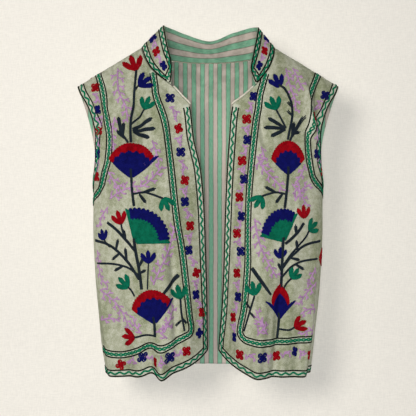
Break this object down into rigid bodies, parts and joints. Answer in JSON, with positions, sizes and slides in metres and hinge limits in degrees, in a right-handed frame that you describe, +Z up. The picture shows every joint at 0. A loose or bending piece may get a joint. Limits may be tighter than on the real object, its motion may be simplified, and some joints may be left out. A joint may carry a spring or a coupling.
{
  "type": "embroidered waistcoat",
  "caption": "Sleeveless open-front waistcoat with a short standing collar, embroidered all over with flowers and lined in striped cotton, keeping its filled-out form.",
  "frame": {"origin": "midway between the two neck points of the shoulder seams, where the collar stands: the place from which the waistcoat hangs on its wearer", "axes": "+Z up along the garment's length, +Y from the open front to the back, +X to the right of someone facing the front"},
  "size_m": [0.47, 0.1331, 0.6252],
  "materials": {
    "sage_cloth": "plain-woven sage cotton, matt, with silk chain-stitch embroidery in red, blue, green, lilac and slate",
    "striped_cotton": "matt plain-woven cotton in green and pinkish beige stripes",
    "ecru_piping": "matt ecru bias cord"
  },
  "bodies": {
    "root": {"front_left": "sage_cloth", "front_right": "sage_cloth", "back": "sage_cloth", "back_lining": "striped_cotton", "collar": "sage_cloth", "collar_lining": "striped_cotton", "neck_piping_left": "ecru_piping", "neck_piping_right": "ecru_piping"}
  },
  "joints": []
}
